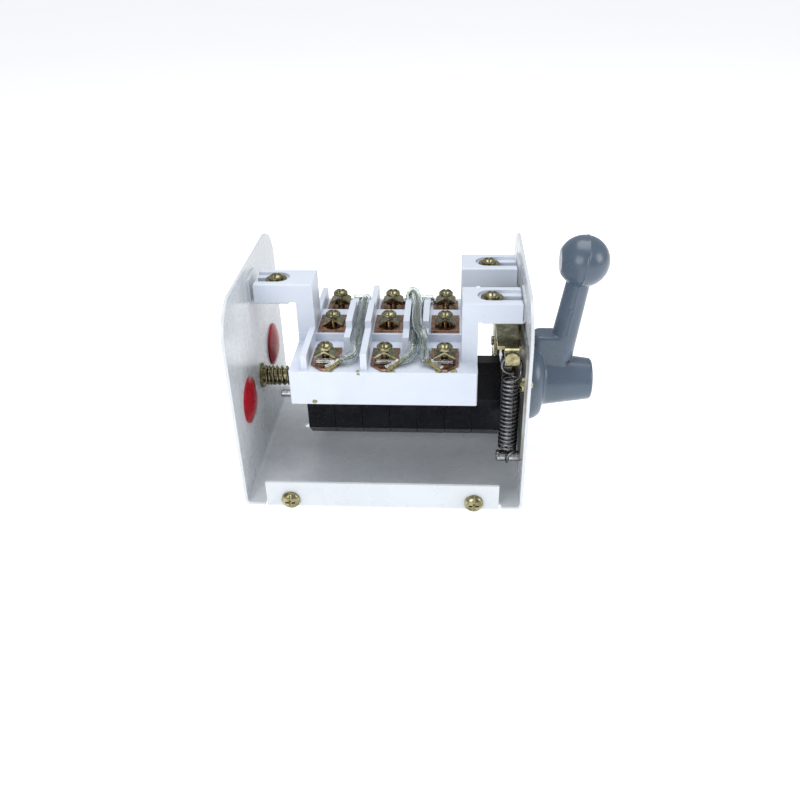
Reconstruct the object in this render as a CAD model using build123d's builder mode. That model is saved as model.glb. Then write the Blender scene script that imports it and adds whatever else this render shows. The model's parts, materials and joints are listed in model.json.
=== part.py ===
from build123d import *
import os
from math import cos, pi, radians, sin, tan

# Three-pole manual transfer switch, open type, on a U-folded chassis.
# Origin: middle of the chassis floor's underside, below the shaft.
# +X runs along the shaft towards the handle, +Y to the rear, +Z up. Millimetres.

# ---------------------------------------------------------------- driving dimensions
# Chassis
sheet = 1.5
chassis_length = 145.0
chassis_depth = 120.0
chassis_height = 111.8
plate_corner_radius = 20.0
fold_radius = 2.0
lip_length = 120.0
lip_height = 16.7
lip_reach = 62.3
lip_relief = 1.8
lip_screw_x = 47.3
lip_screw_z = 6.2
mount_hole_radius = 2.75
mount_spacing_x = 100.0
mount_spacing_y = 30.0
mount_centre_y = 30.0
earth_hole_radius = 1.5
earth_hole_y = 23.0
earth_hole_z = 108.0

# Cable-entry plugs in the left plate
plug_y = 31.6
plug_z = 47.6
plug_hole_radius = 10.0
plug_dome_radius = 12.25
plug_dome_height = 3.6

# Shaft and drum
shaft_z = 44.5
square_side = 9.0
square_left = -46.0
square_right = 66.8
left_journal_radius = 4.0
right_journal_radius = 4.5
shaft_left = -75.5
shaft_right = 104.0
running_fit = 0.05
bush_bore_radius = 6.5
bush_body_radius = 6.45
bush_flange_radius = 6.9
bush_flange_length = 1.5
bush_stand_out = 0.4
drum_left = -43.4
segment_length = 15.0
segment_count = 7
drum_half_width = 18.2
drum_bottom_z = 13.8
drum_shoulder_z = 41.0
drum_top_z = 56.0
drum_top_half_width = 4.0
drum_chamfer = 8.0
seam_gap = 0.06

# Terminal block
pitch = 30.0
column_xs = [1.6 - pitch, 1.6, 1.6 + pitch]
row_y = 32.5
block_left = -46.0
block_right = 48.0
block_half_depth = 43.9
block_bottom_z = 52.8
ledge_z = 71.8
plateau_z = 76.0
plateau_front_y = -10.5
plateau_rear_y = 20.0
arch_radius = 27.2
pocket_half_width = 8.4
rib = 3.2
rib_low_z = 81.0
rib_high_z = 85.0
rib_high_half_depth = 13.0
rib_end_y = 42.0
channel_end_y = 24.0
channel_floor_z = 77.3
tower_top_z = 103.8
ear_bottom_z = 93.7
left_tower_right = -36.8
left_tower_half_width = 10.0
left_ear_end = -67.5
right_tower_left = 40.0
right_ear_end = 69.3
right_ear_y = 22.0
right_ear_half_width = 10.4
ear_recess_depth = 1.6
ear_recess_width = 12.4
ear_slot_width = 4.6
left_ear_screw_x = -57.0
right_ear_screw_x = 54.6

# Contacts, clamps and screws
strip = 1.5
strip_half_width = 7.0
strip_reach = 43.2
strip_point = 5.8
strip_nose = 1.2
blade_thickness = 2.0
blade_radius = 24.0
blade_half_angle = 40.0
blade_hub_radius = 9.0
jaw_gap = 0.3
jaw_leaf = 1.2
saddle_thickness = 1.0
saddle_half_width = 5.4
saddle_rise = 3.3
saddle_depth = 8.6
wire_room = 2.0
screw_head_radius = 4.0
screw_head_height = 2.5
slot_width = 1.1
slot_depth = 1.2
cross_width = 1.0
m4_radius = 1.95
m4_hole_radius = 2.05

# Jumper wires
sleeve_radius = 2.6

# Mechanism on the right plate
plate_inner_x = chassis_length / 2 - sheet
mechanism_plate_thickness = 1.2
mechanism_bottom_z = 26.5
mechanism_top_z = 91.0
mechanism_half_depth = 57.0
anchor_y = 43.0
anchor_z = 22.5
anchor_radius = 3.0
anchor_groove_radius = 2.2
spring_x = 64.3
spring_mean_radius = 4.2
spring_wire = 1.5
spring_turns = 18.25
spring_coil_top = 69.8
ring_mean_radius = 4.7
ring_z = 76.2
yoke_thickness = 2.0
yoke_left = 57.5
yoke_right = 69.0
yoke_top_z = 84.0
hook_half_width = 3.5
hook_leg_gap = 1.7
hook_valley_z = 77.8
hook_tip_z = 84.1
hook_bend = 1.8
hook_taper_y = 38.0
plate_screw_y = 51.0
plate_screw_z = 70.2
yoke_lift = 2.4
cam_radius = 18.0
cam_left = 62.2
cam_right = 66.3
roller_radius = 4.5
roller_gap = 0.4
stud_y = 12.0
stud_z = 75.0
stud_radius = 2.5

# Handle
handle_left = 74.0
flange_radius = 23.0
hub_end = 111.0
hub_start_radius = 14.5
hub_end_radius = 11.25
arm_foot = Vector(94.5, 0, 67.5)
ball_centre = Vector(101.1, 0, 112.9)
arm_foot_radius = 6.8
arm_top_radius = 5.9
ball_radius = 13.1

# ---------------------------------------------------------------- derived values
plate_outer_x = chassis_length / 2
segment_edges = [drum_left + segment_length * i for i in range(segment_count + 1)]
drum_right = segment_edges[-1]
tie_rod_y = 9.5
tie_rod_z = 38.5
tie_rod_radius = 2.0
tie_rod_left = -59.0
roller_z = shaft_z + cam_radius + roller_gap + roller_radius
mechanism_plate_x = plate_inner_x - mechanism_plate_thickness
rib_lefts = [x + side for x in (column_xs[0] + pocket_half_width, column_xs[1] + pocket_half_width)
             for side in (0.0, pitch - 2 * pocket_half_width - rib)]
rows = [-row_y, 0.0, row_y]
row_seats = [ledge_z + strip, plateau_z + strip, ledge_z + strip]
row_gaps = [wire_room, 0.0, wire_room]
shaft_axis = Axis((0, 0, shaft_z), (1, 0, 0))

os.makedirs("parts", exist_ok=True)


def slab(x0, x1, y0, y1, z0, z1, mode=Mode.ADD):
    """A box between two corners, in the current part."""
    with Locations(((x0 + x1) / 2, (y0 + y1) / 2, (z0 + z1) / 2)):
        Box(abs(x1 - x0), abs(y1 - y0), abs(z1 - z0), mode=mode)


def rod(x0, x1, y, z, radius, mode=Mode.ADD):
    """A round bar along X, in the current part."""
    with Locations(Location(((x0 + x1) / 2, y, z), (0, 90, 0))):
        Cylinder(radius, abs(x1 - x0), mode=mode)


def save(piece, label):
    """Label a finished piece and write its STEP file."""
    piece.part.label = label
    export_step(piece.part, f"parts/{label}.step")


def pan_head_screw(head_radius, head_height, shank_radius, shank_length):
    """A pan-head screw standing on z = 0, head up, slotted along Y with a short cross cut."""
    with BuildPart() as screw:
        with BuildSketch(Plane.XZ):
            with BuildLine():
                Polyline((0, head_height), (0, -shank_length), (shank_radius - 0.4, -shank_length),
                         (shank_radius, -shank_length + 0.6), (shank_radius, 0), (head_radius, 0),
                         (head_radius, head_height * 0.4))
                ThreePointArc((head_radius, head_height * 0.4),
                              (head_radius * 0.72, head_height * 0.84), (0, head_height))
            make_face()
        revolve(axis=Axis.Z)
        recess = head_radius * 0.55
        slab(-recess, recess, -cross_width / 2, cross_width / 2,
             head_height * 0.45, head_height + 1, Mode.SUBTRACT)
        slab(-slot_width / 2, slot_width / 2, -head_radius - 1, head_radius + 1,
             head_height - slot_depth, head_height + 1, Mode.SUBTRACT)
    return screw.part


# ---------------------------------------------------------------- chassis
with BuildPart() as chassis:
    plate_mid_x = plate_outer_x - sheet / 2
    with BuildSketch(Plane.XZ):
        with BuildLine():
            FilletPolyline((-plate_mid_x, chassis_height), (-plate_mid_x, sheet / 2),
                           (plate_mid_x, sheet / 2), (plate_mid_x, chassis_height),
                           radius=fold_radius + sheet / 2)
        trace(line_width=sheet)
    extrude(amount=chassis_depth / 2, both=True)
    top_corners = chassis.edges().filter_by(Axis.X).group_by(Axis.Z)[-1]
    fillet(top_corners, plate_corner_radius)
    relief_half = lip_length / 2 + lip_relief
    for side in (-1, 1):
        slab(-relief_half, relief_half, side * (chassis_depth / 2 - 4), side * chassis_depth,
             -1, sheet + 1, Mode.SUBTRACT)
    lip_mid_y = lip_reach - sheet / 2
    with BuildSketch(Plane.YZ):
        with BuildLine():
            FilletPolyline((-lip_mid_y, lip_height), (-lip_mid_y, sheet / 2),
                           (lip_mid_y, sheet / 2), (lip_mid_y, lip_height),
                           radius=fold_radius + sheet / 2)
        trace(line_width=sheet)
    extrude(amount=lip_length / 2, both=True)
    # shaft bushes, cable entries, anchor pins, guide studs and the small earth hole
    rod(-plate_outer_x - 1, plate_outer_x + 1, 0, shaft_z, bush_bore_radius, Mode.SUBTRACT)
    for side in (-1, 1):
        rod(-plate_outer_x - 1, -plate_inner_x + 1, side * plug_y, plug_z, plug_hole_radius, Mode.SUBTRACT)
        rod(plate_inner_x - 1, plate_outer_x + 1, side * anchor_y, anchor_z, m4_hole_radius, Mode.SUBTRACT)
        rod(plate_inner_x - 1, plate_outer_x + 1, side * stud_y, stud_z, m4_hole_radius, Mode.SUBTRACT)
        rod(plate_inner_x - 1, plate_outer_x + 1, side * plate_screw_y, plate_screw_z, m4_hole_radius,
            Mode.SUBTRACT)
    rod(plate_inner_x - 1, plate_outer_x + 1, earth_hole_y, earth_hole_z, earth_hole_radius, Mode.SUBTRACT)
    with Locations((0, mount_centre_y, sheet / 2)):
        with GridLocations(mount_spacing_x, mount_spacing_y, 2, 2):
            Cylinder(mount_hole_radius, 3 * sheet, mode=Mode.SUBTRACT)
    for x in (-lip_screw_x, lip_screw_x):
        with Locations(Location((x, 0, lip_screw_z), (90, 0, 0))):
            Cylinder(2.55, 3 * chassis_depth, mode=Mode.SUBTRACT)
save(chassis, "chassis")

# ---------------------------------------------------------------- cable-entry plugs
with BuildPart() as cable_plugs:
    for side in (-1, 1):
        inner = -plate_inner_x
        with BuildSketch(Plane((0, side * plug_y, plug_z), x_dir=(1, 0, 0), z_dir=(0, -1, 0))):
            with BuildLine():
                ThreePointArc((inner + plug_dome_height, 0), (inner + plug_dome_height * 0.72, 7.4),
                              (inner + 0.8, plug_dome_radius))
                Polyline((inner + 0.8, plug_dome_radius), (inner, plug_dome_radius),
                         (inner, plug_hole_radius - 0.1), (inner - sheet - 0.1, plug_hole_radius - 0.1),
                         (inner - sheet - 0.5, plug_hole_radius + 0.8),
                         (inner - sheet - 2.0, plug_hole_radius - 0.8), (inner - sheet - 2.0, 0),
                         (inner + plug_dome_height, 0))
            make_face()
        revolve(axis=Axis((0, side * plug_y, plug_z), (1, 0, 0)))
save(cable_plugs, "cable_plugs")

# ---------------------------------------------------------------- ear brackets
bracket_sheet = 1.3
bracket_z = ear_bottom_z - 0.1 - bracket_sheet / 2
ear_places = [(-1, left_ear_screw_x, 0.0), (1, right_ear_screw_x, -right_ear_y),
              (1, right_ear_screw_x, right_ear_y)]
with BuildPart() as ear_brackets:
    for side, screw_x, y in ear_places:
        leg_x = side * (plate_inner_x - bracket_sheet / 2)
        with BuildSketch(Plane.XZ.offset(-y)):
            with BuildLine():
                FilletPolyline((leg_x, 105.5), (leg_x, bracket_z), (side * 50.0, bracket_z), radius=1.2)
            trace(line_width=bracket_sheet)
        extrude(amount=8.5, both=True)
        with Locations((screw_x, y, bracket_z)):
            Cylinder(m4_hole_radius, 4 * bracket_sheet, mode=Mode.SUBTRACT)
save(ear_brackets, "ear_brackets")

# ---------------------------------------------------------------- terminal block
leg_slot_y = 20.35
leg_slot_width = 1.65
middle_leg_y = 8.5
with BuildPart() as terminal_block:
    with BuildSketch(Plane.YZ.offset(block_left)):
        with BuildLine():
            Polyline((-block_half_depth, block_bottom_z), (-block_half_depth, ledge_z),
                     (plateau_front_y, ledge_z), (plateau_front_y, plateau_z),
                     (plateau_rear_y, plateau_z), (plateau_rear_y, ledge_z),
                     (block_half_depth, ledge_z), (block_half_depth, block_bottom_z), close=True)
        make_face()
        with Locations((0, shaft_z)):
            Circle(arch_radius, mode=Mode.SUBTRACT)
    extrude(amount=block_right - block_left)
    fillet(terminal_block.edges().filter_by(Axis.Y).group_by(Axis.Z)[0], 0.6)
    fillet(terminal_block.edges().filter_by(Axis.Z).filter_by_position(
        Axis.Y, -block_half_depth, -block_half_depth), 0.8)
    fillet(terminal_block.edges().filter_by(Axis.Z).filter_by_position(
        Axis.Y, block_half_depth, block_half_depth), 0.8)
    # towers and ears
    slab(block_left, left_tower_right, -left_tower_half_width, left_tower_half_width, ledge_z, tower_top_z)
    slab(left_ear_end, block_left + 0.5, -left_tower_half_width, left_tower_half_width,
         ear_bottom_z, tower_top_z)
    for side in (-1, 1):
        near = side * right_ear_y - right_ear_half_width
        far = side * right_ear_y + right_ear_half_width
        slab(right_tower_left, block_right, near, far, ledge_z - 3, tower_top_z)
        slab(block_right - 0.5, right_ear_end, near, far, ear_bottom_z, tower_top_z)
    top_edges = terminal_block.faces().filter_by(Axis.Z).group_by(Axis.Z)[-1].edges()
    fillet(top_edges, 0.8)
    # ribs beside the pockets: the outer left one is lower and stops at the tower
    for index, left in enumerate(rib_lefts):
        front_end = rib_end_y if index == 1 else channel_end_y
        slab(left, left + rib, -front_end, front_end, ledge_z - 1, rib_low_z)
        slab(left, left + rib, -rib_high_half_depth, rib_high_half_depth, ledge_z - 1, rib_high_z)
    for side in (-1, 1):
        slab(left_tower_right - 3.0, left_tower_right, side * (left_tower_half_width - 1), side * 41.5,
             ledge_z - 1, 79.5)
    # channel floors, raised between their ribs
    for left in (rib_lefts[0], rib_lefts[2]):
        slab(left + rib - 0.5, left + pitch - 2 * pocket_half_width - rib + 0.5,
             -channel_end_y, channel_end_y, ledge_z - 1, channel_floor_z)
    # open-ended recess and slot on each ear
    for side, screw_x, y in ear_places:
        end_x = side * 75.0
        inner_x = screw_x - side * 1.0
        slab(inner_x, end_x, y - ear_recess_width / 2, y + ear_recess_width / 2,
             tower_top_z - ear_recess_depth, tower_top_z + 1, Mode.SUBTRACT)
        with Locations((inner_x, y, tower_top_z)):
            Cylinder(ear_recess_width / 2, 2 * ear_recess_depth, mode=Mode.SUBTRACT)
        slab(screw_x, end_x, y - ear_slot_width / 2, y + ear_slot_width / 2,
             ear_bottom_z - 1, tower_top_z + 1, Mode.SUBTRACT)
        with Locations((screw_x, y, (ear_bottom_z + tower_top_z) / 2)):
            Cylinder(ear_slot_width / 2, tower_top_z - ear_bottom_z + 2, mode=Mode.SUBTRACT)
    # slots for the contact legs and holes below the terminal screws
    for x in column_xs:
        for side in (-1, 1):
            slab(x - 5.1, x + 5.1, side * leg_slot_y, side * (leg_slot_y + leg_slot_width),
                 block_bottom_z, ledge_z + 1, Mode.SUBTRACT)
            with Locations((x, side * row_y, ledge_z - 2)):
                Cylinder(2.3, 6.0, mode=Mode.SUBTRACT)
        slab(x - 5.1, x + 5.1, middle_leg_y - 0.05, middle_leg_y + strip + 0.05,
             shaft_z + 20, plateau_z + 1, Mode.SUBTRACT)
        with Locations((x, 0, plateau_z - 2)):
            Cylinder(2.3, 8.0, mode=Mode.SUBTRACT)
save(terminal_block, "terminal_block")

# ---------------------------------------------------------------- ear screws and washers
washer_thickness = 0.8
ear_seat_z = tower_top_z - ear_recess_depth + washer_thickness
with BuildPart() as ear_screws:
    with Locations(*[(x, y, ear_seat_z) for _, x, y in ear_places]):
        add(pan_head_screw(3.8, 2.4, m4_radius, 14.0))
save(ear_screws, "ear_screws")

with BuildPart() as ear_washers:
    for _, x, y in ear_places:
        with Locations((x, y, ear_seat_z - washer_thickness / 2)):
            Cylinder(5.6, washer_thickness)
            Cylinder(2.2, 2 * washer_thickness, mode=Mode.SUBTRACT)
save(ear_washers, "ear_washers")

# ---------------------------------------------------------------- lip screws, front and rear
with BuildPart() as lip_screws:
    for side, turn in ((-1, 90), (1, -90)):
        for x in (-lip_screw_x, lip_screw_x):
            with Locations(Location((x, side * lip_reach, lip_screw_z), (turn, 0, 0))):
                add(pan_head_screw(4.8, 3.2, 2.45, 8.0))
save(lip_screws, "lip_screws")

# ---------------------------------------------------------------- fixed contacts
leaf_low_z = shaft_z + 11.8
leaf_high_z = shaft_z + 15.8
leaf_inner = blade_thickness / 2 + jaw_gap
leaf_outer = leaf_inner + jaw_leaf


def outer_contacts(side):
    """Strips of the front row (side = -1) or the rear row (side = 1), with their jaws."""
    strip_end = side * strip_reach
    slant_start = strip_end - side * strip_point
    leg_near = side * (leg_slot_y + 0.05)
    leg_far = side * (leg_slot_y + 0.05 + strip)
    with BuildPart() as contacts:
        for x in column_xs:
            with BuildSketch(Plane.XY.offset(ledge_z)):
                with BuildLine():
                    Polyline((x - strip_half_width, leg_near), (x - strip_half_width, slant_start),
                             (x - strip_nose, strip_end), (x + strip_nose, strip_end),
                             (x + strip_half_width, slant_start), (x + strip_half_width, leg_near),
                             close=True)
                make_face()
            extrude(amount=strip)
            slab(x - 5, x + 5, leg_near, leg_far, leaf_low_z, ledge_z + strip)
            slab(x - leaf_inner, x + leaf_inner, leg_near - side, leg_far + side,
                 leaf_low_z - 1, shaft_z + 17.5, Mode.SUBTRACT)
            for leaf_side in (-1, 1):
                slab(x + leaf_side * leaf_inner, x + leaf_side * leaf_outer, side * 15.2, leg_far,
                     leaf_low_z, leaf_high_z)
            with Locations((x, side * row_y, ledge_z)):
                Cylinder(m4_hole_radius, 8, mode=Mode.SUBTRACT)
    return contacts


save(outer_contacts(-1), "front_contacts")
save(outer_contacts(1), "rear_contacts")

with BuildPart() as middle_contacts:
    for x in column_xs:
        slab(x - strip_half_width - 0.5, x + strip_half_width + 0.5, -8.8, middle_leg_y + strip,
             plateau_z, plateau_z + strip)
        slab(x - 5, x + 5, middle_leg_y, middle_leg_y + strip, shaft_z + 21.5, plateau_z + strip)
        slab(x - leaf_inner, x + leaf_inner, middle_leg_y - 1, middle_leg_y + strip + 1,
             shaft_z + 20, shaft_z + 24.6, Mode.SUBTRACT)
        for leaf_side in (-1, 1):
            slab(x + leaf_side * leaf_inner, x + leaf_side * leaf_outer, -7.4, middle_leg_y + strip,
                 shaft_z + 18.0, shaft_z + 24.6)
        with Locations((x, 0, plateau_z)):
            Cylinder(m4_hole_radius, 8, mode=Mode.SUBTRACT)
save(middle_contacts, "middle_contacts")

# ---------------------------------------------------------------- saddle clamps and terminal screws
with BuildPart() as saddle_clamps:
    for y, seat, gap in zip(rows, row_seats, row_gaps):
        foot = seat + gap + saddle_thickness / 2 + 0.12
        for x in column_xs:
            with BuildSketch(Plane.XZ.offset(-y)):
                with BuildLine():
                    FilletPolyline((x - saddle_half_width, foot), (x, foot + saddle_rise),
                                   (x + saddle_half_width, foot), radius=1.2)
                trace(line_width=saddle_thickness)
            extrude(amount=saddle_depth / 2, both=True)
            with Locations((x, y, foot)):
                Cylinder(m4_hole_radius + 0.1, 12, mode=Mode.SUBTRACT)
save(saddle_clamps, "saddle_clamps")

with BuildPart() as terminal_screws:
    for y, seat, gap in zip(rows, row_seats, row_gaps):
        head_z = seat + gap + saddle_rise + saddle_thickness + 0.1
        shank = 8.0 if y == 0 else 10.0
        with Locations(*[(x, y, head_z) for x in column_xs]):
            add(pan_head_screw(screw_head_radius, screw_head_height, m4_radius, shank))
save(terminal_screws, "terminal_screws")

# ---------------------------------------------------------------- jumper wires
end_z = 74.9
low_z = channel_floor_z + sleeve_radius + 0.1
high_z = low_z + 2 * sleeve_radius + 0.3
channel_1_x = (rib_lefts[0] + rib_lefts[1] + rib) / 2
channel_2_x = (rib_lefts[2] + rib_lefts[3] + rib) / 2
jumper_routes = {
    "jumper_sleeve_1": [(-20.9, -36.4, end_z), (channel_1_x, -36.0, end_z + 0.3),
                        (channel_1_x, -27.0, low_z), (channel_1_x, 27.0, low_z),
                        (channel_1_x, 36.0, end_z + 0.3), (-20.9, 36.4, end_z)],
    "jumper_sleeve_2": [(9.2, -36.4, end_z), (14.2, -35.4, end_z + 0.3),
                        (channel_2_x, -26.5, low_z), (channel_2_x, 26.5, low_z),
                        (19.0, 35.4, end_z + 0.3), (24.0, 36.4, end_z)],
    "jumper_sleeve_3": [(22.3, -37.0, end_z + 0.2), (22.0, -33.0, 77.6), (20.8, -27.0, 85.0),
                        (channel_2_x, -17.5, high_z), (channel_2_x, 17.5, high_z),
                        (12.4, 27.0, 85.0), (11.2, 33.0, 77.6), (10.9, 37.0, end_z + 0.2)],
}


def bend_radii(route, largest):
    """One radius for each corner: 0.45 of the shorter run over the tangent of half the turn."""
    points = [Vector(*p) for p in route]
    radii = []
    for before, corner, after in zip(points, points[1:], points[2:]):
        run_in = corner - before
        run_out = after - corner
        turn = radians(run_in.get_angle(run_out))
        radii.append(min(largest, 0.45 * min(run_in.length, run_out.length) / tan(turn / 2)))
    return radii


for label, route in jumper_routes.items():
    radii = bend_radii(route, 30.0)
    print(label, "bend radii", [round(r, 1) for r in radii])
    with BuildPart() as sleeve:
        with BuildLine() as path:
            FilletPolyline(*route, radius=radii)
        start = path.wires()[0]
        with BuildSketch(Plane(start @ 0, z_dir=start % 0)):
            Circle(sleeve_radius)
        sweep()
    section_volume = pi * sleeve_radius ** 2 * start.length
    print(label, "volume", round(sleeve.part.volume, 1), "section times length", round(section_volume, 1))
    save(sleeve, label)

# bare tinned strands, pressed flat under the saddles beside the screws
bare_ends = [(0, 1, -1), (0, 1, 1), (1, 1, -1), (2, -1, -1), (2, -1, 1), (1, 1, 1)]
with BuildPart() as jumper_ends:
    for column, side, row in bare_ends:
        x = column_xs[column]
        slab(x - side * 4.6, x + side * 7.55, row * 34.7, row * 37.9,
             ledge_z + strip + 0.06, ledge_z + strip + 1.6)
save(jumper_ends, "jumper_ends")

# ---------------------------------------------------------------- mechanism plate, pins and studs
with BuildPart() as mechanism_plate:
    slab(mechanism_plate_x, plate_inner_x, -mechanism_half_depth, mechanism_half_depth,
         mechanism_bottom_z, mechanism_top_z)
    chamfer(mechanism_plate.edges().filter_by(Axis.X), 4.0)
    rod(mechanism_plate_x - 1, plate_inner_x + 1, 0, shaft_z, bush_bore_radius, Mode.SUBTRACT)
    for side in (-1, 1):
        rod(mechanism_plate_x - 1, plate_inner_x + 1, side * stud_y, stud_z, m4_hole_radius, Mode.SUBTRACT)
        rod(mechanism_plate_x - 1, plate_inner_x + 1, side * plate_screw_y, plate_screw_z, m4_hole_radius,
            Mode.SUBTRACT)
save(mechanism_plate, "mechanism_plate")

with BuildPart() as plate_screws:
    for side in (-1, 1):
        with Locations(Location((mechanism_plate_x, side * plate_screw_y, plate_screw_z), (0, -90, 0))):
            add(pan_head_screw(screw_head_radius, 2.2, m4_radius, 4.4))
save(plate_screws, "plate_screws")

with BuildPart() as anchor_pins:
    for side in (-1, 1):
        rod(58.7, plate_inner_x, side * anchor_y, anchor_z, anchor_radius)
        rod(plate_inner_x - 1, plate_outer_x + 0.6, side * anchor_y, anchor_z, m4_radius)
    chamfer(anchor_pins.edges().filter_by(GeomType.CIRCLE).group_by(Axis.X)[0], 0.5)
    for side in (-1, 1):
        with BuildSketch(Plane((0, side * anchor_y, anchor_z), x_dir=(1, 0, 0), z_dir=(0, -1, 0))):
            with Locations((spring_x, (anchor_radius + anchor_groove_radius) / 2 + 0.5)):
                Rectangle(2.0, anchor_radius - anchor_groove_radius + 1.0)
        revolve(axis=Axis((0, side * anchor_y, anchor_z), (1, 0, 0)), mode=Mode.SUBTRACT)
save(anchor_pins, "anchor_pins")

with BuildPart() as guide_studs:
    cheek_inner_x = yoke_right - yoke_thickness
    for side in (-1, 1):
        rod(cheek_inner_x - 0.3, mechanism_plate_x, side * stud_y, stud_z, stud_radius)
        rod(cheek_inner_x - 1.7, cheek_inner_x - 0.3, side * stud_y, stud_z, 4.0)
        rod(mechanism_plate_x - 1, plate_outer_x + 0.6, side * stud_y, stud_z, m4_radius)
    fillet(guide_studs.edges().filter_by(GeomType.CIRCLE).group_by(Axis.X)[0], 0.5)
save(guide_studs, "guide_studs")

# ---------------------------------------------------------------- detent yoke
yoke_mid_z = yoke_top_z - yoke_thickness / 2
leg_back_y = anchor_y - (hook_leg_gap + yoke_thickness) / 2
leg_front_y = anchor_y + (hook_leg_gap + yoke_thickness) / 2
hook_low_z = hook_valley_z - yoke_thickness / 2
with BuildPart() as detent_yoke:
    # one strap, bent at each end into a hook for the spring's ring
    with BuildSketch(Plane.YZ.offset(yoke_left)):
        with BuildLine():
            FilletPolyline((-leg_front_y, hook_tip_z), (-leg_front_y, hook_low_z), (-leg_back_y, hook_low_z),
                           (-leg_back_y, yoke_mid_z), (leg_back_y, yoke_mid_z), (leg_back_y, hook_low_z),
                           (leg_front_y, hook_low_z), (leg_front_y, hook_tip_z), radius=hook_bend)
        trace(line_width=yoke_thickness)
    extrude(amount=yoke_right - yoke_left)
    for side in (-1, 1):
        for x0, x1 in ((yoke_left - 1, spring_x - hook_half_width),
                       (spring_x + hook_half_width, yoke_right + 1)):
            slab(x0, x1, side * hook_taper_y, side * (leg_front_y + yoke_thickness),
                 hook_low_z - yoke_thickness, hook_tip_z + 1, Mode.SUBTRACT)
    fillet(detent_yoke.edges().filter_by(Axis.Y).group_by(Axis.Z)[-1], hook_half_width - 0.1)
    # left cheek carries the roller pin; the right cheek also slides on the guide studs
    slab(yoke_left, yoke_left + yoke_thickness, -7, 7, roller_z - 5, yoke_mid_z)
    slab(yoke_right - yoke_thickness, yoke_right, -7, 7, roller_z - 5, yoke_mid_z)
    slab(yoke_right - yoke_thickness, yoke_right, -17, 17, stud_z - 8, yoke_mid_z)
    rod(yoke_left - 1, yoke_right + 1, 0, roller_z, 1.55, Mode.SUBTRACT)
    for side in (-1, 1):
        slot_low = stud_z - yoke_lift - 0.3
        slot_high = stud_z + 0.3
        for z in (slot_low, slot_high):
            rod(yoke_right - yoke_thickness - 1, yoke_right + 1, side * stud_y, z, stud_radius + 0.1,
                Mode.SUBTRACT)
        slab(yoke_right - yoke_thickness - 1, yoke_right + 1, side * stud_y - stud_radius - 0.1,
             side * stud_y + stud_radius + 0.1, slot_low, slot_high, Mode.SUBTRACT)
save(detent_yoke, "detent_yoke")

with BuildPart() as yoke_roller:
    rod(cam_left, cam_right, 0, roller_z, roller_radius)
    chamfer(yoke_roller.edges().filter_by(GeomType.CIRCLE), 0.3)
    rod(cam_left - 1, cam_right + 1, 0, roller_z, 1.58, Mode.SUBTRACT)
save(yoke_roller, "yoke_roller")

with BuildPart() as roller_pin:
    rod(yoke_left - 1.2, yoke_right + 0.4, 0, roller_z, 1.5)
    rod(yoke_left - 1.2, yoke_left - 0.05, 0, roller_z, 2.4)
    fillet(roller_pin.edges().filter_by(GeomType.CIRCLE).group_by(Axis.X)[0], 0.4)
save(roller_pin, "roller_pin")


# ---------------------------------------------------------------- extension springs
def extension_spring():
    """A close-wound spring on the Z axis: a loop across Y below, a ring across X above."""
    wire_radius = spring_wire / 2
    low_loop_z = anchor_z - anchor_groove_radius - wire_radius - 0.05 + spring_mean_radius
    coil_low = low_loop_z + 3.4
    with BuildPart() as spring:
        with BuildLine() as coil:
            Helix((spring_coil_top - coil_low) / spring_turns, spring_coil_top - coil_low, spring_mean_radius,
                  center=(0, 0, coil_low))
        with BuildSketch(Plane(coil.line @ 0, z_dir=coil.line % 0)):
            Circle(wire_radius)
        sweep(is_frenet=True)
        with BuildLine(Plane.XZ) as low_loop:
            Line((spring_mean_radius, coil_low), (spring_mean_radius, low_loop_z))
            CenterArc((0, low_loop_z), spring_mean_radius, 0, -235)
        with BuildLine(Plane.YZ) as ring:
            Spline((spring_mean_radius, spring_coil_top), (ring_mean_radius, ring_z),
                   tangents=((0, 1), (0, 1)))
            CenterArc((0, ring_z), ring_mean_radius, 0, 290)
        for end in (low_loop.wires()[0], ring.wires()[0]):
            with Locations(end @ 0):
                Sphere(wire_radius + 0.05)
            with BuildSketch(Plane(end @ 0, z_dir=end % 0)):
                Circle(wire_radius)
            sweep(path=end)
    return spring.part


with BuildPart() as detent_spring_front:
    with Locations(Location((spring_x, -anchor_y, 0), (0, 0, -90))):
        add(extension_spring())
save(detent_spring_front, "detent_spring_front")

with BuildPart() as detent_spring_rear:
    with Locations(Location((spring_x, anchor_y, 0), (0, 0, 90))):
        add(extension_spring())
save(detent_spring_rear, "detent_spring_rear")

# ---------------------------------------------------------------- bearing bushes
with BuildPart() as bush_left:
    rod(-plate_outer_x - bush_stand_out, -plate_inner_x, 0, shaft_z, bush_body_radius)
    rod(-plate_inner_x, -plate_inner_x + bush_flange_length, 0, shaft_z, bush_flange_radius)
    rod(-80, -60, 0, shaft_z, left_journal_radius + running_fit, Mode.SUBTRACT)
save(bush_left, "bush_left")

with BuildPart() as bush_right:
    rod(mechanism_plate_x, plate_outer_x + bush_stand_out, 0, shaft_z, bush_body_radius)
    rod(mechanism_plate_x - bush_flange_length, mechanism_plate_x, 0, shaft_z, bush_flange_radius)
    rod(60, 80, 0, shaft_z, right_journal_radius + running_fit, Mode.SUBTRACT)
save(bush_right, "bush_right")

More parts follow.
